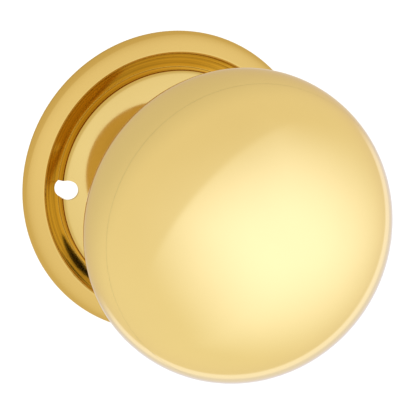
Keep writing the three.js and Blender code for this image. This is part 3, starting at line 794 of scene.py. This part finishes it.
def spring_route():
    """Middle line of the wire: leg out through the cup, coil, and hook into the driver."""
    def at(radius, angle, height):
        return Vector((radius * math.cos(angle), -height, -radius * math.sin(angle))) * MM

    per_turn = 48
    leg_end = CUP_RADIUS + CUP_SHEET + LEG_REACH
    leg = leg_end - COIL_RADIUS - LEG_BEND
    rear = COIL_FRONT - COIL_TURNS * COIL_PITCH - GAP
    hook = rear - (DRIVER_FRONT - DRIVER_THICKNESS - HOOK_REACH)
    points = [at(leg_end - leg * i / 5, COIL_START, COIL_FRONT) for i in range(5)]
    for i in range(int(COIL_TURNS * per_turn) + 1):
        angle = COIL_START + (COIL_LEAD + i / per_turn) * 2 * math.pi
        points.append(at(COIL_RADIUS, angle, COIL_FRONT - i / per_turn * COIL_PITCH))
    points += [at(COIL_RADIUS, HOOK_ANGLE, rear - hook * i / 3) for i in range(4)]
    return points


def build_spring():
    """Round wire along its route, from the cup to the driver."""
    curve = bpy.data.curves.new("return_spring", "CURVE")
    curve.dimensions = "3D"
    curve.bevel_depth = WIRE_RADIUS * MM
    curve.bevel_resolution = 4
    curve.use_fill_caps = True
    route = spring_route()
    line = curve.splines.new("NURBS")
    line.points.add(len(route) - 1)
    line.order_u = 3
    line.use_endpoint_u = True
    line.resolution_u = 3
    for point, place in zip(line.points, route):
        point.co = (*place, 1)
    shape = bpy.data.objects.new("return_spring_shape", curve)
    bpy.context.scene.collection.objects.link(shape)
    bpy.context.view_layer.update()
    depsgraph = bpy.context.evaluated_depsgraph_get()
    mesh = bpy.data.meshes.new_from_object(shape.evaluated_get(depsgraph))
    bpy.data.objects.remove(shape)
    spring = finished(new_object("return_spring", mesh), crease=50)
    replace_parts(paint(spring, spring_steel), "torsion_spring")
    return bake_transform(spring)


def finish_carried_over():
    """Materials of the pieces that keep their CAD shape."""
    finishes = {
        "plate_nut": bright_steel, "housing_cover": plated_steel, "knob_core": cast_zinc,
        "shank_tube": bright_steel, "spindle_pin": bright_steel, "driver_plate": plated_steel,
        "thrust_washer": nylon, "wave_washer": spring_steel,
    }
    for name, material in finishes.items():
        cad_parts[name].material_slots[0].material = material


build_rose()
build_front_shell()
build_back_shell()
build_ferrule()
build_bush()
build_plate()
build_housing()
build_rivets()
build_spindle()
build_retaining_ring()
build_spring()
finish_carried_over()

# ---------------------------------------------------------------- stage

FLOOR_DROP = 0.9  # metres
FLOOR_REACH = 30.0  # metres
FLOOR_TONE = (0.93, 0.93, 0.93)
FLOOR_WASH_ENERGY = 0.9
FLOOR_WASH_SPREAD = 40.0  # degrees
CARD_BLACK = (0.004, 0.004, 0.005)
STAGE_ROUGHNESS = 0.9
FLAG_HEIGHT = -27.0  # of its level part, mm
FLAG_BEND = -30.0  # in front of this y it slopes down
FLAG_SLOPE = 0.8
FLAG_EDGES = (  # its two curved edges: x and y of their control points, mm
    [(-20.8, -23.3), (-16, -30.8), (-8, -37)],
    [(-20.2, -22.8), (-12.5, -27.5), (-5, -34.5)],
)
TENT_LOW = (1.03, 1.03, 0.95)
TENT_HIGH = (0.94, 0.90, 0.78)
BOX_LIGHT = (0.42, 0.60, 1.2)
BOX_DIRECTION = (21.0, -8.0)  # azimuth and elevation of its middle, degrees
BOX_ROLL = -14.0
BOX_REACH = (69.0, 53.0)  # half its width and height as seen from the knob, degrees
BOX_POWER = 1.57  # between 1 for a diamond and 2 for an oval
BOX_FADE = (0.11, 1.69)  # its light fades between these shares of its reach
BOX_EDGE = (40.0, -34.0)  # its straight top edge is square to this direction
BOX_EDGE_FADE = (-0.03, 0.05)  # that edge's softness, as a component along the direction
BOX_BEYOND_EDGE = 0.25  # share of its light that is left beyond that edge
SHADE_DIRECTION = (-165.0, 25.0)  # middle of the tent's dim back
SHADE_REACH = (15.0, 70.0)  # full and faded out at these angles from it
SHADE = 0.16  # share of light that it takes away
BACKDROP_DIRECTION = (157.0, -21.0)  # middle of the bright ring behind the object
BACKDROP_RADII = (31.0, 42.0)  # its inner and outer edge
BACKDROP_FADES = (2.0, 1.0)  # half the width of those edges
BACKDROP_SIDE = (50.0, -56.0)  # the ring is lit on this side only
BACKDROP_SIDE_FADE = (-0.05, 0.15)  # as for the box's edge
BACKDROP_RING = (0.25, 0.38, 0.75)
BACKDROP_MIDDLE = (0.03, 0.15, 0.48)
CAMERA_AZIMUTH = -20.7
CAMERA_ELEVATION = 14.1
CAMERA_DISTANCE = 15.0  # in rose radii, as are the two shifts of its target
CAMERA_RIGHT = 0.248
CAMERA_DOWN = 0.167
FOCAL_LENGTH = 2300 / 416  # in picture widths
SENSOR_WIDTH = 36.0


def build_floor():
    """White paper far below, which the brass doesn't mirror."""
    mesh = bpy.data.meshes.new("floor")
    half = FLOOR_REACH
    corners = [(-half, -half, 0), (half, -half, 0), (half, half, 0), (-half, half, 0)]
    mesh.from_pydata(corners, [], [(0, 1, 2, 3)])
    mesh.materials.append(plain_material("floor paper", FLOOR_TONE, STAGE_ROUGHNESS))
    floor = new_object("studio_floor", mesh)
    floor.location.z = -FLOOR_DROP
    floor.visible_glossy = False


def build_flag():
    """Black card behind the ball's lower left, seen only in the brass: the crescent in the groove."""
    mesh = bpy.data.meshes.new("flag")
    steps = 16
    corners = []
    for x, y in (point for edge in FLAG_EDGES for point in bezier(edge, steps)):
        z = FLAG_HEIGHT - FLAG_SLOPE * max(0, FLAG_BEND - y)
        corners.append((x * MM, y * MM, z * MM))
    row = steps + 1
    faces = [(i, i + 1, i + 1 + row, i + row) for i in range(steps)]
    mesh.from_pydata(corners, [], faces)
    mesh.materials.append(plain_material("black card", CARD_BLACK, STAGE_ROUGHNESS))
    flag = new_object("studio_flag", mesh)
    flag.visible_camera = False
    flag.visible_diffuse = False
    flag.visible_shadow = False


def direction(azimuth, elevation):
    """Unit vector from the object; azimuth 0 is towards -Y and grows towards +X. Degrees."""
    a = math.radians(azimuth)
    e = math.radians(elevation)
    return Vector((math.sin(a) * math.cos(e), -math.cos(a) * math.cos(e), math.sin(e)))


def math_node(nodes, links, operation, *values):
    """A Math node fed with sockets or numbers."""
    node = nodes.new("ShaderNodeMath")
    node.operation = operation
    for socket, value in zip(node.inputs, values):
        if isinstance(value, bpy.types.NodeSocket):
            links.new(value, socket)
        else:
            socket.default_value = value
    return node.outputs["Value"]


def component(nodes, links, ray, axis):
    """How far a ray's direction runs along an axis."""
    node = nodes.new("ShaderNodeVectorMath")
    node.operation = "DOT_PRODUCT"
    links.new(ray, node.inputs[0])
    node.inputs[1].default_value = axis
    return node.outputs["Value"]


def smooth_step(nodes, links, value, start, end):
    node = nodes.new("ShaderNodeMapRange")
    node.interpolation_type = "SMOOTHSTEP"
    node.inputs["From Min"].default_value = start
    node.inputs["From Max"].default_value = end
    links.new(value, node.inputs["Value"])
    return node.outputs["Result"]


def soft_box(nodes, links, ray):
    """Share of a large soft box's light that comes from a direction: 1 in its middle, 0 outside."""
    towards = direction(*BOX_DIRECTION)
    level = Vector((0, 0, 1)).cross(-towards).normalized()
    tilt = Matrix.Rotation(math.radians(BOX_ROLL), 3, towards)
    across = tilt @ level
    up = across.cross(-towards)
    ahead = component(nodes, links, ray, towards)
    side = component(nodes, links, ray, across)
    height = component(nodes, links, ray, up)
    turn = math_node(nodes, links, "ARCTAN2", side, ahead)
    rise = math_node(nodes, links, "ARCSINE", height)
    total = None
    for angle, reach in ((turn, BOX_REACH[0]), (rise, BOX_REACH[1])):
        share = math_node(nodes, links, "DIVIDE", angle, math.radians(reach))
        size = math_node(nodes, links, "ABSOLUTE", share)
        power = math_node(nodes, links, "POWER", size, BOX_POWER)
        total = power if total is None else math_node(nodes, links, "ADD", total, power)
    distance = math_node(nodes, links, "POWER", total, 1 / BOX_POWER)
    glow = smooth_step(nodes, links, distance, BOX_FADE[1], BOX_FADE[0])
    above = component(nodes, links, ray, direction(*BOX_EDGE))
    edge = smooth_step(nodes, links, above, *BOX_EDGE_FADE)
    kept = math_node(nodes, links, "MULTIPLY_ADD", edge, 1 - BOX_BEYOND_EDGE, BOX_BEYOND_EDGE)
    return math_node(nodes, links, "MULTIPLY", glow, kept)


def patch(nodes, links, ray, towards, start, end):
    """1 within an angle of a direction and 0 beyond a wider one, in degrees."""
    along = component(nodes, links, ray, direction(*towards))
    return smooth_step(nodes, links, along, math.cos(math.radians(end)), math.cos(math.radians(start)))


def build_world():
    """A white tent with a dim back, a bright ring behind the object and a cool soft box in front."""
    world = bpy.data.worlds.new("studio")
    world.use_nodes = True
    nodes = world.node_tree.nodes
    links = world.node_tree.links
    ray = nodes.new("ShaderNodeTexCoord").outputs["Generated"]
    height = component(nodes, links, ray, (0, 0, 1))
    low_to_high = math_node(nodes, links, "MULTIPLY_ADD", height, 0.5, 0.5)
    tent = tint(nodes, links, low_to_high, TENT_LOW, TENT_HIGH)
    box = tint(nodes, links, soft_box(nodes, links, ray), (0, 0, 0), BOX_LIGHT)
    lit = mixed(nodes, links, "ADD", 1.0, tent, box)
    dim = patch(nodes, links, ray, SHADE_DIRECTION, *SHADE_REACH)
    shade = math_node(nodes, links, "MULTIPLY", dim, SHADE)
    shaded = mixed(nodes, links, "MULTIPLY", shade, lit, (0, 0, 0, 1))
    middle, within = (
        patch(nodes, links, ray, BACKDROP_DIRECTION, radius - fade, radius + fade)
        for radius, fade in zip(BACKDROP_RADII, BACKDROP_FADES)
    )
    glow = tint(nodes, links, middle, BACKDROP_RING, BACKDROP_MIDDLE)
    side = component(nodes, links, ray, direction(*BACKDROP_SIDE))
    lit_side = smooth_step(nodes, links, side, *BACKDROP_SIDE_FADE)
    lit_ring = math_node(nodes, links, "MULTIPLY", within, lit_side)
    whole = mixed(nodes, links, "ADD", lit_ring, shaded, glow)
    links.new(whole, nodes["Background"].inputs["Color"])
    bpy.context.scene.world = world


def build_floor_wash():
    """Lights the floor to plain white, and leaves no glint in the brass."""
    light = bpy.data.lights.new("floor wash", "SUN")
    light.energy = FLOOR_WASH_ENERGY
    light.angle = math.radians(FLOOR_WASH_SPREAD)
    lamp = bpy.data.objects.new("floor_wash", light)
    lamp.visible_glossy = False
    bpy.context.scene.collection.objects.link(lamp)


def build_camera():
    """At the photograph's viewing angle: 21 degrees to the left of the face and 14 above it."""
    turn = math.radians(CAMERA_AZIMUTH)
    back = direction(CAMERA_AZIMUTH, CAMERA_ELEVATION)
    right = Vector((math.cos(turn), math.sin(turn), 0))
    up = back.cross(right)
    target = (CAMERA_RIGHT * right - CAMERA_DOWN * up) * ROSE_RADIUS * MM
    camera = bpy.data.objects.new("camera", bpy.data.cameras.new("camera"))
    camera.data.sensor_width = SENSOR_WIDTH
    camera.data.lens = SENSOR_WIDTH * FOCAL_LENGTH
    camera.location = target + back * CAMERA_DISTANCE * ROSE_RADIUS * MM
    camera.rotation_euler = back.to_track_quat("Z", "Y").to_euler()
    bpy.context.scene.collection.objects.link(camera)
    bpy.context.scene.camera = camera


build_floor()
build_flag()
build_world()
build_floor_wash()
build_camera()
bpy.context.scene.view_settings.view_transform = "Standard"
